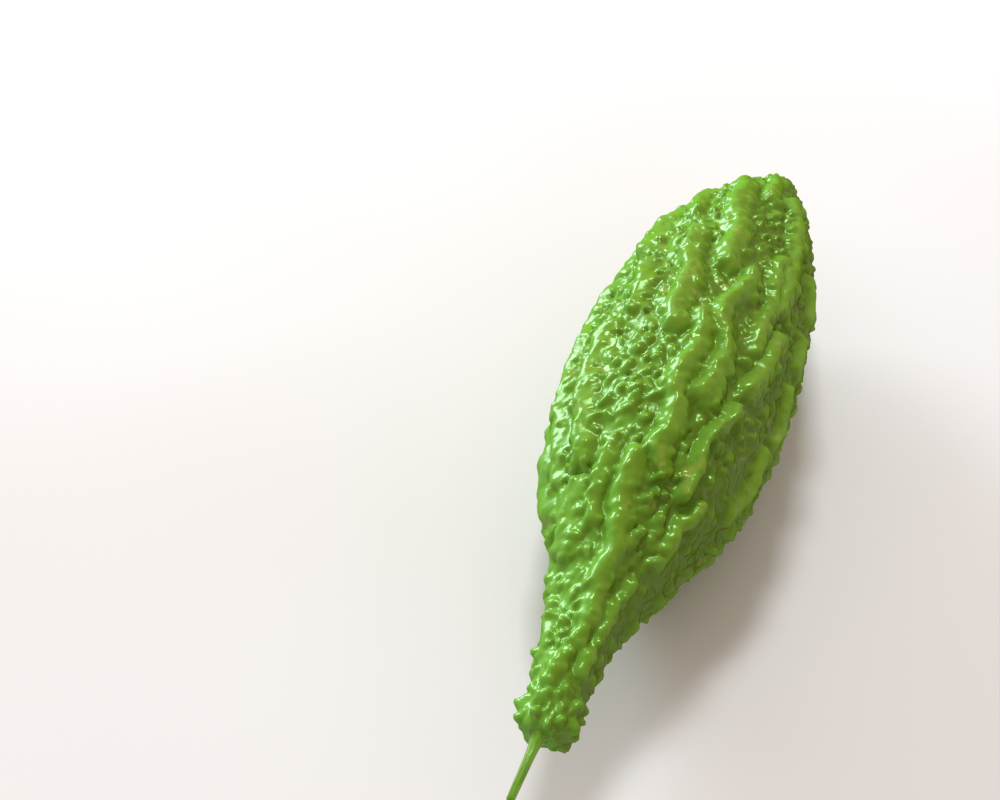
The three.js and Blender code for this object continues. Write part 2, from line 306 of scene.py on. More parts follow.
@dataclass(frozen=True)
class Bend:
    """A smooth bending of space that turns straight forms into grown ones. Sizes are in mm.

    Each axis moves by a wave of the other two, twisted by a slower wave across it.
    """

    wave: float
    reach: float
    twist: float = 1.3
    rates: tuple[float, float, float] = (0.7, 0.8, 0.9)
    phases: tuple[float, float] = (2, 4)

    def move(self, points: np.ndarray) -> np.ndarray:
        """Moves points by up to the reach along each axis.

        Args:
            points: The points.

        Returns:
            The moved points.
        """
        x, y, z = (points * 2 * math.pi / self.wave).T
        slow, middle, fast = self.rates
        return points + self.reach * np.stack([
            np.sin(y + self.twist * np.cos(slow * z)),
            np.sin(z + self.twist * np.cos(middle * x) + self.phases[0]),
            np.sin(fast * x + self.twist * np.cos(slow * y) + self.phases[1]),
        ], axis=-1)


@dataclass
class HiddenRibs:
    """Ribs of the far side and the underside, each broken into welts by a seeded rule.

    A low rib has a share of the full height, and its welts are wider by low_spread of what it lacks.
    """

    angles: tuple[float, ...] = (198, 217, 237, 259, 281, 305, 331, 357, 383)
    low_ribs: dict[float, float] = field(default_factory=lambda: {198: 0.6, 217: 0.9})
    low_spread: float = 0.3
    start: float = 16
    stagger: float = 8
    end: float = 184
    overrun: float = 4
    seed: int = 41
    length: Span = (15, 34)
    gap: Span = (2.5, 6)
    wander: float = 5
    wave: float = 21
    half: Span = (2.5, 3.7)
    height: Span = (2.2, 3.1)
    full_radius: float = 20
    least_share: float = 0.5

    def share_at(self, spindle: Spindle, along: float) -> float:
        """How far a welt shrinks with the body.

        Args:
            spindle: The body that carries it.
            along: Distance from the neck end.

        Returns:
            A share from least_share to 1.
        """
        radius = float(spindle.at(spindle.place_of(along))[1])
        return min(1.0, max(self.least_share, radius / self.full_radius))

    def welts(self, spindle: Spindle) -> list[Welt]:
        """Draws the welts of every rib.

        Args:
            spindle: The body that carries them.

        Returns:
            The welts.
        """
        draw = SeededDraw(self.seed)
        made = []
        for rib in self.angles:
            start = self.start + self.stagger * draw.next()
            while start < self.end:
                share = self.share_at(spindle, start)
                end = start + between(self.length, draw.next()) * share
                end = min(self.end + self.overrun, end)
                route = []
                for t in (0, 0.5, 1):
                    along = start + (end - start) * t
                    sway = math.sin(along / self.wave + rib) + draw.next() - 0.5
                    route.append((along, rib + self.wander * sway))
                low = self.low_ribs.get(rib, 1.0)
                half = between(self.half, draw.next()) * share * (1 + self.low_spread * (1 - low))
                height = between(self.height, draw.next()) * share * low
                made.append(Welt(tuple(route), half, height))
                start = end + between(self.gap, draw.next()) * share
        return made


@dataclass(frozen=True)
class QuietSide:
    """The side that grew smoother: its angles round the axis, and how much of the relief it lacks."""

    start: Span = (138, 160)
    end: Span = (180, 200)
    warts: float = 0.2
    pebbles: float = 0.6

    def at(self, degrees: np.ndarray) -> np.ndarray:
        """How far angles lie inside the quiet side.

        Args:
            degrees: Angles from 0 to 360.

        Returns:
            From 0 outside to 1 inside.
        """
        return smooth_step(*self.start, degrees) * (1 - smooth_step(*self.end, degrees))


@dataclass
class Warts:
    """Round tubercles between the welts, in staggered rows jittered by a seeded rule.

    Each knob is a larger one, by distance from the neck end, angle, half its width and its height.
    """

    seed: int = 7
    pitch: float = 3.3
    jitter: float = 0.4
    half: Span = (1.3, 2.6)
    height: Span = (0.5, 1.6)
    stretch: float = 1.25
    least_share: float = 0.75
    full_radius: float = 14
    bare_share: float = 0.16
    neck_length: float = 46
    neck_boost: float = 0.45
    least_count: int = 5
    drift: float = 0.08
    end_room: Span = (0.9, 1.1)
    knobs: tuple[tuple[float, float, float, float], ...] = (
        (58.3, 110, 1.6, 2.5),
        (55.3, 111, 1.4, 2.6),
        (56.3, 117, 1.4, 2.5),
        (52.8, 107, 1.6, 2.5),
        (51.6, 125, 1.9, 2.3),
        (46.0, 118, 1.6, 2.3),
        (5.4, 15, 2.3, 2.5),
        (2.8, 12, 1.6, 2.2),
        (8, 33, 2.0, 1.2),
        (7.4, 150, 2.3, 1.6),
        (3, 154, 1.9, 1.6),
        (14.6, 164, 2.2, 1.3),
        (19.8, 161, 2.3, 1.3),
        (24.7, 166, 2.3, 1.2),
        (11.8, 74, 1.9, 1.1),
        (20.9, 69, 2.0, 1.1),
        (18.8, 117, 2.0, 1.1),
        (9.1, 110, 1.8, 1.0),
        (33, 187, 2.3, 1.8),
        (42, 189, 2.6, 2.3),
        (61, 188, 2.8, 2.6),
        (67, 187, 2.8, 2.6),
    )

    def grow(self, spindle: Spindle, quiet: QuietSide) -> np.ndarray:
        """Places the warts.

        Args:
            spindle: The body that carries them.
            quiet: The side where they stay low.

        Returns:
            One row each: X, Y and Z of the middle, half width and height, in mm.
        """
        draw = SeededDraw(self.seed)
        rows = []
        for along, degrees, half, height in self.knobs:
            middle = spindle.skin(spindle.place_of(np.array(along)), np.array(degrees))
            rows.append((*middle, half, height))
        for number, place in enumerate(spindle.even_places(self.pitch)[1:-1]):
            along, radius = spindle.at(place)[:2]
            boost = 1 + self.neck_boost * float(smooth_step(self.neck_length, 0, along))
            share = min(1.0, max(self.least_share, radius / self.full_radius))
            count = max(self.least_count, round(2 * math.pi * radius / (self.pitch * share)))
            for i in range(count):
                turn = (i + 0.5 * (number % 2) + self.jitter * (2 * draw.next() - 1)) / count
                shifted = max(self.end_room[0], place + self.drift * (2 * draw.next() - 1))
                shifted = min(spindle.last - self.end_room[1], shifted)
                half = between(self.half, draw.next()) * share
                height = between(self.height, draw.next()) * share * boost
                height = height * (1 - quiet.warts * float(quiet.at(360 * turn % 360)))
                if draw.next() < self.bare_share:
                    continue
                rows.append((*spindle.skin(np.array(shifted), np.array(360 * turn)), half, height))
        return np.array(rows)


@dataclass
class Relief:
    """Everything that rises from the spindle, melted together where it meets."""

    spindle: Spindle
    welts: list[Welt]
    warts: np.ndarray
    wart_stretch: float
    bends: tuple[Bend, ...] = (Bend(19, 0.7), Bend(8, 0.3))
    wart_bend: Bend = Bend(5.2, 0.5)
    flat_share: float = 0.05
    wart_flat_share: float = 0.05
    wart_calm: float = 0.68
    flank: float = 0.98
    lean_start: float = -0.5
    margin: float = 3.0
    least_away: float = 1e-6
    melt_power: float = 4
    bare_radius: float = 1.9
    fade_radius: float = 3.9
    tip_fade: float = 12
    ridge_rise: Span = (0.6, 1.9)
    calm_rise: Span = (0.9, 2.6)

    def raise_welts(self, points: np.ndarray, across: np.ndarray) -> np.ndarray:
        """Melts the welts together at points on the smooth body.

        Args:
            points: The points, ordered by X.
            across: Direction of rising angle at each point.

        Returns:
            The height, in mm.
        """
        total = np.zeros(len(points))
        moved = points
        for bend in self.bends:
            moved = bend.move(moved)
        for welt in self.welts:
            chain = welt.rods(self.spindle)
            reach = welt.half * (self.flank + welt.lean)
            low = np.searchsorted(points[:, 0], chain[:, 0].min() - reach - self.margin)
            high = np.searchsorted(points[:, 0], chain[:, 0].max() + reach + self.margin)
            near = moved[low:high]
            nearest = np.full(len(near), np.inf)
            side = np.zeros(len(near))
            for start, end in zip(chain, chain[1:]):
                way = end - start
                offset = near - start
                offset = offset - np.clip(offset @ way / (way @ way), 0, 1)[:, None] * way
                away = np.linalg.norm(offset, axis=1)
                closer = away < nearest
                nearest[closer] = away[closer]
                turned = (offset * across[low:high]).sum(axis=1)
                side[closer] = turned[closer] / (away[closer] + self.least_away)
            flank = welt.half * (self.flank + welt.lean * smooth_step(self.lean_start, 1, side))
            rise = welt.height * (1 - smooth_step(self.flat_share, 1, nearest / flank))
            total[low:high] += rise ** self.melt_power
        return total ** (1 / self.melt_power)

    def raise_warts(self, points: np.ndarray) -> np.ndarray:
        """Melts the warts together at points on the smooth body.

        Args:
            points: The points, ordered by X.

        Returns:
            The height, in mm.
        """
        total = np.zeros(len(points))
        moved = self.wart_bend.move(points)
        for x, y, z, half, height in self.warts:
            reach = half * self.wart_stretch + self.wart_bend.reach
            low = np.searchsorted(points[:, 0], x - reach)
            high = np.searchsorted(points[:, 0], x + reach)
            near = moved[low:high]
            away = np.sqrt(((near[:, 0] - x) / self.wart_stretch) ** 2
                           + (near[:, 1] - y) ** 2 + (near[:, 2] - z) ** 2)
            rise = height * (1 - smooth_step(self.wart_flat_share, 1, away / half))
            total[low:high] += rise ** self.melt_power
        return total ** (1 / self.melt_power)

    def at(
        self, points: np.ndarray, across: np.ndarray, radius: np.ndarray
    ) -> tuple[np.ndarray, np.ndarray]:
        """Relief at points on the smooth body.

        Args:
            points: The points, ordered by X.
            across: Direction of rising angle at each point.
            radius: Radius of the body at each point.

        Returns:
            The height in mm, and how much of it is welt, from 0 to 1.
        """
        welts = self.raise_welts(points, across)
        warts = self.raise_warts(points)
        left = self.spindle.length - points[:, 0]
        fade = smooth_step(self.bare_radius, self.fade_radius, radius) * smooth_step(0, self.tip_fade, left)
        ridge = smooth_step(*self.ridge_rise, fade * welts)
        calm = smooth_step(*self.calm_rise, fade * welts)
        return fade * (welts + warts * (1 - self.wart_calm * calm)), ridge


def close_rings(first: np.ndarray, rings: list[np.ndarray], last: np.ndarray) -> tuple[np.ndarray, list]:
    """Closes rings of points into one skin with a point at either end.

    Rings may hold different numbers of points: the shorter step is always taken first.

    Args:
        first: The point before the first ring.
        rings: Rings of points that all turn the same way.
        last: The point after the last ring.

    Returns:
        The points and the triangles.
    """
    points = np.vstack([first[None], *rings, last[None]])
    starts = np.cumsum([1] + [len(ring) for ring in rings])
    faces = []
    count = len(rings[0])
    for i in range(count):
        faces.append((0, 1 + (i + 1) % count, 1 + i))
    for ring, above, here, there in zip(rings, rings[1:], starts, starts[1:]):
        m = len(ring)
        n = len(above)
        i = 0
        j = 0
        while i < m or j < n:
            if j >= n or (i < m and (i + 1) * n <= (j + 1) * m):
                faces.append((here + i % m, here + (i + 1) % m, there + j % n))
                i += 1
            else:
                faces.append((here + i % m, there + (j + 1) % n, there + j % n))
                j += 1
    count = len(rings[-1])
    here = starts[-2]
    for i in range(count):
        faces.append((len(points) - 1, here + i, here + (i + 1) % count))
    return points, faces


def make_piece(name: str, points: np.ndarray, faces: list) -> bpy.types.Object:
    """Makes an object of a closed skin.

    Args:
        name: The piece's name.
        points: Its points, in mm in the row frame.
        faces: Its triangles.

    Returns:
        The object, linked to the scene.
    """
    mesh = bpy.data.meshes.new(name)
    mesh.from_pydata((points * MM).tolist(), [], faces)
    mesh.polygons.foreach_set("use_smooth", [True] * len(faces))
    mesh.update()
    piece = bpy.data.objects.new(name, mesh)
    bpy.context.scene.collection.objects.link(piece)
    return piece


def store(mesh: bpy.types.Mesh, name: str, values: np.ndarray) -> None:
    """Keeps one number for each point of a mesh.

    Args:
        mesh: The mesh.
        name: The attribute's name.
        values: One number for each point.
    """
    kept = mesh.attributes.new(name, "FLOAT", "POINT")
    kept.data.foreach_set("value", np.asarray(values, np.float32))


@dataclass
class NodeBoard:
    """A node tree that is filled by short calls."""

    tree: bpy.types.NodeTree

    def add(self, kind: str, inputs: dict | None = None, **settings: object) -> bpy.types.Node:
        """Adds a node.

        Args:
            kind: Blender's name for the node's type.
            inputs: What goes into its sockets, by name or number: a value, or a socket to link.
            settings: Properties of the node itself.

        Returns:
            The node.
        """
        node = self.tree.nodes.new(kind)
        for name, value in settings.items():
            setattr(node, name, value)
        for name, value in (inputs or {}).items():
            if isinstance(value, Socket):
                self.tree.links.new(value, node.inputs[name])
            else:
                node.inputs[name].default_value = value
        return node

    def math(self, operation: str, *values: float | Socket) -> Socket:
        """Adds a sum with plain numbers.

        Args:
            operation: What is done with them.
            values: Numbers or sockets.

        Returns:
            The result's socket.
        """
        return self.add("ShaderNodeMath", dict(enumerate(values)), operation=operation).outputs[0]

    def vector(self, operation: str, *values: tuple | Socket) -> Socket:
        """Adds a sum with vectors.

        Args:
            operation: What is done with them.
            values: Vectors or sockets.

        Returns:
            The result's socket.
        """
        return self.add("ShaderNodeVectorMath", dict(enumerate(values)), operation=operation).outputs[0]

    def ease(
        self, value: Socket, low: float, high: float, start: float = 0.0, end: float = 1.0
    ) -> Socket:
        """Eases a number from one range to another.

        Args:
            value: The number's socket.
            low: Value that gives start.
            high: Value that gives end.
            start: Result at low.
            end: Result at high.

        Returns:
            The result's socket.
        """
        limits = {"Value": value, "From Min": low, "From Max": high, "To Min": start, "To Max": end}
        return self.add("ShaderNodeMapRange", limits, interpolation_type="SMOOTHSTEP").outputs["Result"]

    def mix_colour(self, share: Socket, low: tuple | Socket, high: tuple | Socket) -> Socket:
        """Mixes two colours.

        Args:
            share: How much of the second one.
            low: First colour or socket.
            high: Second colour or socket.

        Returns:
            The colour's socket.
        """
        mix = self.add("ShaderNodeMix", {0: share, 6: low, 7: high}, data_type="RGBA")
        return mix.outputs[2]

    def noise(self, place: Socket, scale: float | Socket, detail: float) -> Socket:
        """Adds cloudy noise.

        Args:
            place: Where it is read.
            scale: How many waves fit in one unit of it.
            detail: How many finer layers it has.

        Returns:
            The noise's socket.
        """
        inputs = {"Vector": place, "Scale": scale, "Detail": detail}
        return self.add("ShaderNodeTexNoise", inputs).outputs[0]


@dataclass
class PebbleTree:
    """Geometry nodes that pebble the rind along its normals and press it flat where it lies."""

    name: str = "pebbled rind"
    pebble_length: float = 2.5 * MM
    pebble_width: float = 1.9 * MM
    pebble_height: float = 0.52 * MM
    grain_size: float = 1.3 * MM
    grain_height: float = 0.13 * MM
    swell_size: float = 9.0 * MM
    swell_height: float = 0.9 * MM
    pit_spacing: float = 3.6 * MM
    pit_depth: float = 0.75 * MM
    ridge_calm: float = 0.6
    bend_scale: float = 0.45
    scatter: float = 0.95
    dome_edge: Span = (0.1, 0.72)
    dome_shares: Span = (0.25, 1.15)
    pit_wall: Span = (0.05, 0.3)
    pit_chance: Span = (0.35, 0.6)
    rim_climb: Span = (0.2, 0.3)
    rim_fall: Span = (0.3, 0.42)
    rim_share: float = 0.3
    seed_shift: float = 0.37
    seed: int = 5

    def sizes(self) -> dict[str, float]:
        """Sizes that the tree takes as inputs.

        Returns:
            Name and value of each.
        """
        return {
            "Pebble length": self.pebble_length,
            "Pebble width": self.pebble_width,
            "Pebble height": self.pebble_height,
            "Grain size": self.grain_size,
            "Grain height": self.grain_height,
            "Swell size": self.swell_size,
            "Swell height": self.swell_height,
            "Pit spacing": self.pit_spacing,
            "Pit depth": self.pit_depth,
            "Ridge calm": self.ridge_calm,
        }

    def build(self) -> bpy.types.NodeTree:
        """Makes the tree.

        Returns:
            The node tree.
        """
        tree = bpy.data.node_groups.new(self.name, "GeometryNodeTree")
        tree.interface.new_socket("Rind", in_out="INPUT", socket_type="NodeSocketGeometry")
        for size in self.sizes():
            tree.interface.new_socket(size, in_out="INPUT", socket_type="NodeSocketFloat")
        tree.interface.new_socket("Seed", in_out="INPUT", socket_type="NodeSocketInt")
        tree.interface.new_socket("Finish", in_out="INPUT", socket_type="NodeSocketMaterial")
        tree.interface.new_socket("Rind", in_out="OUTPUT", socket_type="NodeSocketGeometry")
        board = NodeBoard(tree)
        given = board.add("NodeGroupInput").outputs
        place = board.add("GeometryNodeInputPosition").outputs[0]
        normal = board.add("GeometryNodeInputNormal").outputs[0]
        ridge, fade = (
            board.add("GeometryNodeInputNamedAttribute", {"Name": name}, data_type="FLOAT").outputs[0]
            for name in ("ridge", "fade")
        )
        rise = self.pebbles(board, given, place, ridge)
        rise = board.math("MULTIPLY", rise, fade)
        share = board.math("DIVIDE", rise, given["Pebble height"])
        # The pebble share also sets the painted shade in the rind's colour.
        stored = board.add(
            "GeometryNodeStoreNamedAttribute",
            {"Geometry": given["Rind"], "Name": "pebble", "Value": share},
            data_type="FLOAT",
            domain="POINT",
        )
        offset = board.add("ShaderNodeVectorMath", {0: normal, "Scale": rise}, operation="SCALE").outputs[0]
        moved = board.add("GeometryNodeSetPosition", {"Geometry": stored.outputs[0], "Offset": offset})
        apart = board.add("ShaderNodeSeparateXYZ", {0: place}).outputs
        above = board.math("MAXIMUM", apart["Z"], 0.0)
        pressed = board.add("ShaderNodeCombineXYZ", {0: apart["X"], 1: apart["Y"], 2: above}).outputs[0]
        flat = board.add("GeometryNodeSetPosition", {"Geometry": moved.outputs[0], "Position": pressed})
        real = board.add("GeometryNodeRealizeInstances", {"Geometry": flat.outputs[0]})
        dressed = board.add(
            "GeometryNodeSetMaterial", {"Geometry": real.outputs[0], "Material": given["Finish"]}
        )
        board.add("NodeGroupOutput", {"Rind": dressed.outputs[0]})
        return tree

    def pebbles(self, board: NodeBoard, given: Sockets, place: Socket, ridge: Socket) -> Socket:
        """Adds the height of swells, pebbles and grains.

        Args:
            board: The tree.
            given: The tree's inputs.
            place: Position of the point.
            ridge: How much of the point is welt.

        Returns:
            The height's socket.
        """
        calm = board.math("SUBTRACT", 1.0, board.math("MULTIPLY", ridge, given["Ridge calm"]))
        far = board.math("MULTIPLY", given["Seed"], self.seed_shift)
        shift = board.add("ShaderNodeCombineXYZ", {0: far, 1: far, 2: far}).outputs[0]
        spot = board.vector("ADD", place, shift)
        wide = given["Pebble width"]
        sizes = board.add("ShaderNodeCombineXYZ", {0: given["Pebble length"], 1: wide, 2: wide}).outputs[0]
        cells = board.vector("DIVIDE", spot, sizes)
        waved = {"Vector": cells, "Scale": self.bend_scale, "Detail": 1.0}
        bend = board.add("ShaderNodeTexNoise", waved).outputs["Color"]
        cells = board.vector("ADD", cells, board.vector("SUBTRACT", bend, (0.5, 0.5, 0.5)))
        scattered = {"Vector": cells, "Scale": 1.0, "Randomness": self.scatter}
        pebble = board.add("ShaderNodeTexVoronoi", scattered)
        dome = board.ease(pebble.outputs["Distance"], *self.dome_edge, 1.0, 0.0)
        tall = board.add("ShaderNodeSeparateXYZ", {0: pebble.outputs["Color"]}).outputs[0]
        dome = board.math("MULTIPLY", dome, board.ease(tall, 0.0, 1.0, *self.dome_shares))
        dome = board.math("MULTIPLY", board.math("MULTIPLY", dome, given["Pebble height"]), calm)
        grain = self.waves(board, spot, given["Grain size"], given["Grain height"])
        swell = self.waves(board, spot, given["Swell size"], given["Swell height"])
        pits = board.math("MULTIPLY", self.pits(board, spot, given), calm)
        return board.math("SUBTRACT", board.math("ADD", dome, board.math("ADD", grain, swell)), pits)

    def pits(self, board: NodeBoard, spot: Socket, given: Sockets) -> Socket:
        """Adds small round pits with a rim, in about half of the cells of a pattern.

        Args:
            board: The tree.
            spot: Position of the point, shifted by the seed.
            given: The tree's inputs.

        Returns:
            The depth's socket.
        """
        scale = board.math("DIVIDE", 1.0, given["Pit spacing"])
        cell = board.add("ShaderNodeTexVoronoi", {"Vector": spot, "Scale": scale, "Randomness": 1.0})
        chosen = board.add("ShaderNodeSeparateXYZ", {0: cell.outputs["Color"]}).outputs[0]
        away = cell.outputs["Distance"]
        hollow = board.ease(away, *self.pit_wall, 1.0, 0.0)
        rim = board.ease(away, *self.rim_fall, self.rim_share, 0.0)
        rim = board.math("MULTIPLY", rim, board.ease(away, *self.rim_climb))
        depth = board.math("SUBTRACT", hollow, rim)
        depth = board.math("MULTIPLY", depth, board.ease(chosen, *self.pit_chance))
        return board.math("MULTIPLY", depth, given["Pit depth"])

    def waves(self, board: NodeBoard, spot: Socket, size: Socket, height: Socket) -> Socket:
        """Adds noise of one size, that rises and falls by half its height.

        Args:
            board: The tree.
            spot: Position of the point, shifted by the seed.
            size: Size of a wave.
            height: Height from trough to crest.

        Returns:
            The height's socket.
        """
        scale = board.math("DIVIDE", 1.0, size)
        return board.math("MULTIPLY", board.math("SUBTRACT", board.noise(spot, scale, 1.0), 0.5), height)

    def apply(self, piece: bpy.types.Object, finish: bpy.types.Material) -> None:
        """Pebbles a piece and leaves it a plain mesh.

        Args:
            piece: The piece.
            finish: Its material.
        """
        tree = self.build()
        modifier = piece.modifiers.new(self.name, "NODES")
        modifier.node_group = tree
        values = {**self.sizes(), "Seed": self.seed, "Finish": finish}
        for item in tree.interface.items_tree:
            if item.in_out == "INPUT" and item.name in values:
                modifier[item.identifier] = values[item.name]
        graph = bpy.context.evaluated_depsgraph_get()
        made = bpy.data.meshes.new_from_object(
            piece.evaluated_get(graph), preserve_all_data_layers=True, depsgraph=graph
        )
        piece.modifiers.remove(modifier)
        piece.data = made


@dataclass(frozen=True)
class WaxyRind:
    """Glossy waxy green rind: mottled, paler on the ridges, with faint brown flecks. Painted shade darkens
    the pits and hollows, and painted light makes facets that face +Y greener; the rind is also greener
    towards both ends.
    """

    name: str = "waxy rind"
    # Painted shade: the dark green of the pits and hollows.
    painted_hollow_shade: tuple = (0.090, 0.165, 0.008, 1)
    leaf: tuple = (0.130, 0.257, 0.013, 1)
    ridge: tuple = (0.146, 0.280, 0.018, 1)
    # Painted light: the brighter green of facets that face +Y, towards the window, also laid towards both
    # ends.
    lit_side_and_end_green: tuple = (0.132, 0.335, 0.030, 1)
    fleck: tuple = (0.31, 0.32, 0.06, 1)
    tint: tuple = (0.52, 1.0, 0.34, 1)
    fleck_share: float = 0.5
    end_green: float = 5.0
    green_middle: float = 18 * MM
    roughness: Span = (0.2, 0.32)
    glancing: Span = (0.24, 0.70)
    specular: Span = (0.54, 0.0)
    wear_scale: float = 420.0
    mottle_scale: float = 75.0
    mottle_share: Span = (0.3, 0.9)
    pebble_shade: float = 0.22
    hollow_shade_rise: Span = (0.05, 0.75)
    lit_side_and_end_turn: Span = (-0.3, 1.0)
    spot_scale: float = 260.0
    spot_edge: Span = (0.56, 0.72)
    patch_scale: float = 48.0
    patch_edge: Span = (0.45, 0.65)
    bump_scale: float = 900.0
    bump_strength: float = 0.2
    bump_height: float = 0.25 * MM

    def material(self) -> bpy.types.Material:
        """Makes the material.

        Returns:
            The material.
        """
        made = bpy.data.materials.new(self.name)
        made.use_nodes = True
        board = NodeBoard(made.node_tree)
        surface = made.node_tree.nodes["Principled BSDF"]
        place = board.add("ShaderNodeTexCoord").outputs["Object"]
        colour = self.colour(board, place)
        made.node_tree.links.new(colour, surface.inputs["Base Color"])
        worn = board.ease(board.noise(place, self.wear_scale, 2.0), *NOISE_SPAN, *self.roughness)
        made.node_tree.links.new(worn, surface.inputs["Roughness"])
        wax = board.noise(place, self.bump_scale, 2.0)
        wax = {"Strength": self.bump_strength, "Distance": self.bump_height, "Height": wax}
        made.node_tree.links.new(board.add("ShaderNodeBump", wax).outputs[0], surface.inputs["Normal"])
        made.node_tree.links.new(self.gloss(board), surface.inputs["Specular IOR Level"])
        surface.inputs["Specular Tint"].default_value = self.tint
        return made

    def colour(self, board: NodeBoard, place: Socket) -> Socket:
        """Adds the rind's colour.

        Args:
            board: The material's tree.
            place: Object coordinates.

        Returns:
            The colour's socket.
        """
        ridge, pebble, rise = (
            board.add("ShaderNodeAttribute", attribute_name=name).outputs["Fac"]
            for name in ("ridge", "pebble", "rise")
        )
        # Painted shade: the lower the relief and the pebbles, the darker the green.
        height = board.math("ADD", rise, board.math("MULTIPLY", pebble, self.pebble_shade))
        colour = board.mix_colour(board.ease(height, *self.hollow_shade_rise), self.painted_hollow_shade, self.leaf)
        mottle = board.ease(board.noise(place, self.mottle_scale, 3.0), *NOISE_SPAN, *self.mottle_share)
        colour = board.mix_colour(board.math("MULTIPLY", ridge, mottle), colour, self.ridge)
        # Painted light: facets that face +Y, towards the window, turn greener; the skin also turns greener
        # towards both ends.
        normal = board.add("ShaderNodeTexCoord").outputs["Normal"]
        lit_and_end_share = board.add("ShaderNodeSeparateXYZ", {0: normal}).outputs["Y"]
        along = board.add("ShaderNodeSeparateXYZ", {0: place}).outputs["X"]
        distance = board.math("ABSOLUTE", board.math("SUBTRACT", along, self.green_middle))
        lit_and_end_share = board.math("ADD", lit_and_end_share, board.math("MULTIPLY", distance, self.end_green))
        colour = board.mix_colour(board.ease(lit_and_end_share, *self.lit_side_and_end_turn), colour, self.lit_side_and_end_green)
        spots = board.ease(board.noise(place, self.spot_scale, 2.0), *self.spot_edge)
        patches = board.ease(board.noise(place, self.patch_scale, 1.0), *self.patch_edge)
        share = board.math("MULTIPLY", spots, patches)
        return board.mix_colour(board.math("MULTIPLY", share, self.fleck_share), colour, self.fleck)

    def gloss(self, board: NodeBoard) -> Socket:
        """Adds the strength of the reflection, which is weaker at a glancing angle.

        Args:
            board: The material's tree.

        Returns:
            The strength's socket.
        """
        facing = board.add("ShaderNodeLayerWeight", {"Blend": 0.5}).outputs["Facing"]
        return board.ease(facing, *self.glancing, *self.specular)


@dataclass(frozen=True)
class StemSkin:
    """Pale green stem with fine lengthwise lines."""

    name: str = "stem skin"
    low: tuple = (0.10, 0.235, 0.016, 1)
    high: tuple = (0.155, 0.335, 0.03, 1)
    tint: tuple = (0.7, 1.0, 0.5, 1)
    line_scale: tuple[float, float, float] = (120.0, 1500.0, 1500.0)
    roughness: Span = (0.26, 0.16)
    bump_strength: float = 0.5
    bump_height: float = 0.2 * MM

    def material(self) -> bpy.types.Material:
        """Makes the material.

        Returns:
            The material.
        """
        made = bpy.data.materials.new(self.name)
        made.use_nodes = True
        board = NodeBoard(made.node_tree)
        surface = made.node_tree.nodes["Principled BSDF"]
        place = board.add("ShaderNodeTexCoord").outputs["Object"]
        drawn = board.add("ShaderNodeMapping", {"Vector": place, "Scale": self.line_scale}).outputs[0]
        lines = board.noise(drawn, 1.0, 2.0)
        colour = board.mix_colour(board.ease(lines, *NOISE_SPAN), self.low, self.high)
        made.node_tree.links.new(colour, surface.inputs["Base Color"])
        worn = board.ease(lines, *NOISE_SPAN, *self.roughness)
        made.node_tree.links.new(worn, surface.inputs["Roughness"])
        uneven = {"Strength": self.bump_strength, "Distance": self.bump_height, "Height": lines}
        made.node_tree.links.new(board.add("ShaderNodeBump", uneven).outputs[0], surface.inputs["Normal"])
        surface.inputs["Specular Tint"].default_value = self.tint
        return made


@dataclass
class Fruit:
    """The gourd itself, from the neck to the blossom tip."""

    spindle: Spindle
    origin: Vector
    pitch: float = 0.52
    swollen: float = 1.5
    least_sides: int = 12
    pebble_tip_fade: float = 6
    full_rise: float = 3.2
    pole_rise: float = 0.3
    ribs: HiddenRibs = field(default_factory=HiddenRibs)
    warts: Warts = field(default_factory=Warts)
    quiet: QuietSide = QuietSide()
    pebbles: PebbleTree = field(default_factory=PebbleTree)
    finish: WaxyRind = field(default_factory=WaxyRind)

    def build(self) -> bpy.types.Object:
        """Makes the fruit.

        Returns:
            The finished piece.
        """
        places = self.spindle.even_places(self.pitch)[1:-1]
        radii = self.spindle.at(places)[:, 1]
        sides = np.round(2 * np.pi * (radii + self.swollen) / self.pitch)
        sides = np.maximum(self.least_sides, sides).astype(int)
        place = np.repeat(places, sides)
        degrees = np.concatenate([360 * np.arange(n) / n for n in sides])
        skin = self.spindle.skin(place, degrees)
        order = np.argsort(skin[:, 0], kind="stable")
        relief = Relief(
            self.spindle,
            [*SEEN_WELTS, *self.ribs.welts(self.spindle)],
            self.warts.grow(self.spindle, self.quiet),
            self.warts.stretch,
        )
        height = np.zeros(len(skin))
        ridge = np.zeros(len(skin))
        angle = np.radians(degrees)
        across = np.stack([0 * angle, -np.sin(angle), np.cos(angle)], axis=-1)
        radius = np.repeat(radii, sides)
        height[order], ridge[order] = relief.at(skin[order], across[order], radius[order])
        raised = skin + self.spindle.outward(place, degrees) * height[:, None]
        rings = np.split(raised, np.cumsum(sides)[:-1])
        poles = self.spindle.skin(np.array([0.0, self.spindle.last]), np.zeros(2))
        points, faces = close_rings(poles[0], rings, poles[1])
        piece = make_piece("rind", points + np.array(self.origin) / MM, faces)
        fade = smooth_step(relief.bare_radius, relief.fade_radius, radius)
        fade = fade * smooth_step(0, self.pebble_tip_fade, self.spindle.length - skin[:, 0])
        fade = fade * (1 - self.quiet.pebbles * self.quiet.at(degrees))
        store(piece.data, "ridge", np.concatenate([[0], ridge, [0]]))
        # The rise also sets the painted shade in the rind's colour.
        rise = np.concatenate([[self.pole_rise], height / self.full_rise, [self.pole_rise]])
        store(piece.data, "rise", rise)
        store(piece.data, "fade", np.concatenate([[0], fade, [0]]))
        self.pebbles.apply(piece, self.finish.material())
        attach(piece, "root")
        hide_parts("fruit")
        return piece


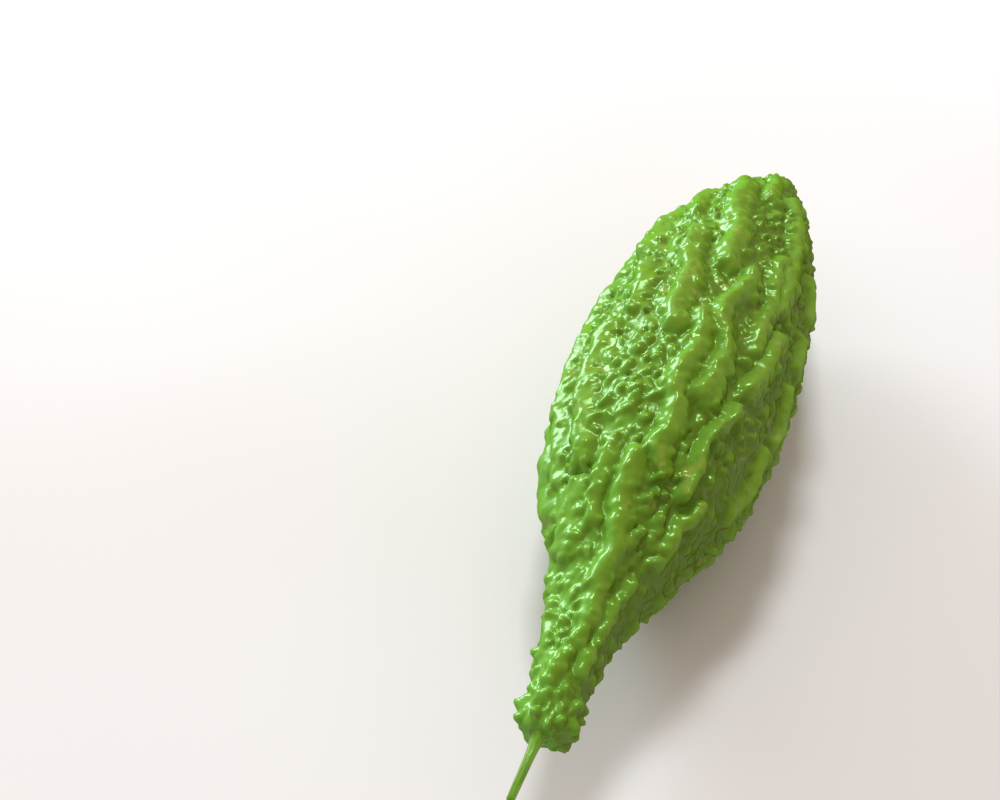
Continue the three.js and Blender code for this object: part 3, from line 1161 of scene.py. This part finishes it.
@dataclass
class Stalk:
    """The thin stem on the neck's end: flared at its root, bent a little, with a rounded cut end."""

    spindle: Spindle
    origin: Vector
    length: float = 14.5
    sunk: float = 0.7
    radius: float = 0.82
    taper: float = 0.22
    flare: float = 0.75
    flare_length: float = 1.5
    collar: float = 0.7
    collar_length: float = 0.6
    sway: float = 0.5
    rise: float = -1.6
    rings: int = 72
    sides: int = 40
    lines: int = 7
    line_depth: float = 0.035
    lobes: int = 5
    lobe_depth: float = 0.22
    lobe_length: float = 1.3
    line_twist: float = 0.15
    ring_power: float = 1.3
    tip_gap: float = 0.02
    finish: StemSkin = field(default_factory=StemSkin)

    def radius_at(self, along: np.ndarray) -> np.ndarray:
        """Radius of the stem at distances from the fruit.

        Args:
            along: The distances, in mm.

        Returns:
            The radii, in mm.
        """
        body = self.radius + self.taper * (1 - along / self.length)
        flared = self.flare * np.exp(-np.maximum(along, 0) / self.flare_length)
        collar = self.collar * np.exp(-(along + self.sunk) / self.collar_length)
        left = np.clip((self.length - along) / self.radius, 0, 1)
        return (body + flared + collar) * np.sqrt(1 - (1 - left) ** 2)

    def build(self) -> bpy.types.Object:
        """Makes the stalk.

        Returns:
            The finished piece.
        """
        root = self.spindle.skin(np.array(0.0), np.array(0.0))
        share = np.linspace(0, 1, self.rings)
        along = -self.sunk + (self.length + self.sunk) * (1 - (1 - share) ** self.ring_power)
        along[-1] = self.length - self.tip_gap
        turn = -2 * np.pi * np.arange(self.sides) / self.sides
        rings = []
        for distance, radius in zip(along, self.radius_at(along)):
            bend = (max(distance, 0) / self.length) ** 2
            lobe = self.lobe_depth * math.exp(-(distance + self.sunk) / self.lobe_length)
            groove = self.line_depth * np.sin(self.lines * turn + self.line_twist * distance)
            grooved = radius * (1 + groove + lobe * np.sin(self.lobes * turn))
            rings.append(np.stack([
                np.full(self.sides, root[0] - distance),
                root[1] + self.sway * bend + grooved * np.cos(turn),
                root[2] + self.rise * bend + grooved * np.sin(turn),
            ], axis=-1))
        first = rings[0].mean(axis=0)
        last = rings[-1].mean(axis=0)
        last[0] = root[0] - self.length
        points, faces = close_rings(first, rings, last)
        piece = make_piece("stem", points + np.array(self.origin) / MM, faces)
        piece.data.materials.append(self.finish.material())
        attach(piece, "root")
        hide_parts("stalk")
        return piece


@dataclass(frozen=True)
class PaleGround:
    """Matt pale floor with very faint clouding."""

    name: str = "pale ground"
    low: tuple = (0.665, 0.645, 0.645, 1)
    high: tuple = (0.695, 0.69, 0.705, 1)
    cloud_scale: float = 5.0
    roughness: float = 0.9
    specular: float = 0.1

    def material(self) -> bpy.types.Material:
        """Makes the material.

        Returns:
            The material.
        """
        made = bpy.data.materials.new(self.name)
        made.use_nodes = True
        board = NodeBoard(made.node_tree)
        surface = made.node_tree.nodes["Principled BSDF"]
        place = board.add("ShaderNodeTexCoord").outputs["Object"]
        clouds = board.ease(board.noise(place, self.cloud_scale, 1.0), *NOISE_SPAN)
        colour = board.mix_colour(clouds, self.low, self.high)
        made.node_tree.links.new(colour, surface.inputs["Base Color"])
        surface.inputs["Roughness"].default_value = self.roughness
        surface.inputs["Specular IOR Level"].default_value = self.specular
        return made


@dataclass(frozen=True)
class SoftLight:
    """One soft rectangular light, aimed at the gourd."""

    name: str
    place: tuple[float, float, float]
    size: tuple[float, float]
    power: float
    colour: tuple[float, float, float]

    def build(self, aim: Vector) -> None:
        """Makes the light.

        Args:
            aim: The point that it faces, in metres.
        """
        data = bpy.data.lights.new(self.name, "AREA")
        data.shape = "RECTANGLE"
        data.size = self.size[0] * MM
        data.size_y = self.size[1] * MM
        data.energy = self.power
        data.color = self.colour
        lamp = bpy.data.objects.new(self.name, data)
        bpy.context.scene.collection.objects.link(lamp)
        lamp.location = Vector(self.place) * MM
        lamp.rotation_euler = (aim - lamp.location).to_track_quat("-Z", "Y").to_euler()


@dataclass
class Studio:
    """Pale floor, soft light and the camera at the photograph's angle. Sizes are in mm."""

    floor_size: float = 6000
    camera_place: tuple[float, float, float] = (-242.7, -51.57, 250.0)
    heading: float = 21.2
    pitch: float = 41.3
    lens: float = 50
    sensor: float = 36
    nearest: float = 10
    aim: tuple[float, float, float] = (0.0, 0.0, 28.0)
    sky: tuple = (1.0, 0.84, 0.72, 1)
    sky_strength: float = 0.69
    lights: tuple[SoftLight, ...] = (
        SoftLight("window", (764, 1078, 400), (600, 600), 19.2, (0.81, 0.95, 1.02)),
        SoftLight("skylight", (560, 220, 1200), (300, 300), 10.3, (0.92, 0.97, 1.0)),
    )

    def build(self, ground: PaleGround) -> None:
        """Makes the studio.

        Args:
            ground: The floor's finish.
        """
        self.floor(ground)
        for light in self.lights:
            light.build(Vector(self.aim) * MM)
        world = bpy.data.worlds.new("soft sky")
        world.use_nodes = True
        world.node_tree.nodes["Background"].inputs["Color"].default_value = self.sky
        world.node_tree.nodes["Background"].inputs["Strength"].default_value = self.sky_strength
        bpy.context.scene.world = world
        bpy.context.scene.view_settings.view_transform = "Standard"
        self.camera()

    def floor(self, ground: PaleGround) -> None:
        """Makes the floor.

        Args:
            ground: Its finish.
        """
        half = self.floor_size / 2 * MM
        mesh = bpy.data.meshes.new("floor")
        corners = [(-half, -half, 0), (half, -half, 0), (half, half, 0), (-half, half, 0)]
        mesh.from_pydata(corners, [], [(0, 1, 2, 3)])
        mesh.materials.append(ground.material())
        floor = bpy.data.objects.new("floor", mesh)
        bpy.context.scene.collection.objects.link(floor)

    def camera(self) -> None:
        """Makes the camera."""
        data = bpy.data.cameras.new("camera")
        data.lens = self.lens
        data.sensor_width = self.sensor
        data.clip_start = self.nearest * MM
        camera = bpy.data.objects.new("camera", data)
        bpy.context.scene.collection.objects.link(camera)
        turn = Matrix.Rotation(math.radians(self.heading - 90), 4, "Z")
        tilt = Matrix.Rotation(math.radians(90 - self.pitch), 4, "X")
        camera.matrix_world = Matrix.Translation(Vector(self.camera_place) * MM) @ turn @ tilt
        bpy.context.scene.camera = camera


def main() -> None:
    """Builds the gourd and the studio, and reports each piece."""
    logging.basicConfig(level=logging.INFO, format="%(name)s: %(message)s")
    spindle = Spindle()
    low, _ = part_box("fruit")
    origin = Vector((low.x, AXIS_SHIFT * MM, 0))
    for part in (Fruit(spindle, origin), Stalk(spindle, origin)):
        piece = part.build()
        LOG.info("%s: %d points, %d faces", piece.name, len(piece.data.vertices), len(piece.data.polygons))
    Studio().build(PaleGround())


if __name__ == "__main__":
    main()
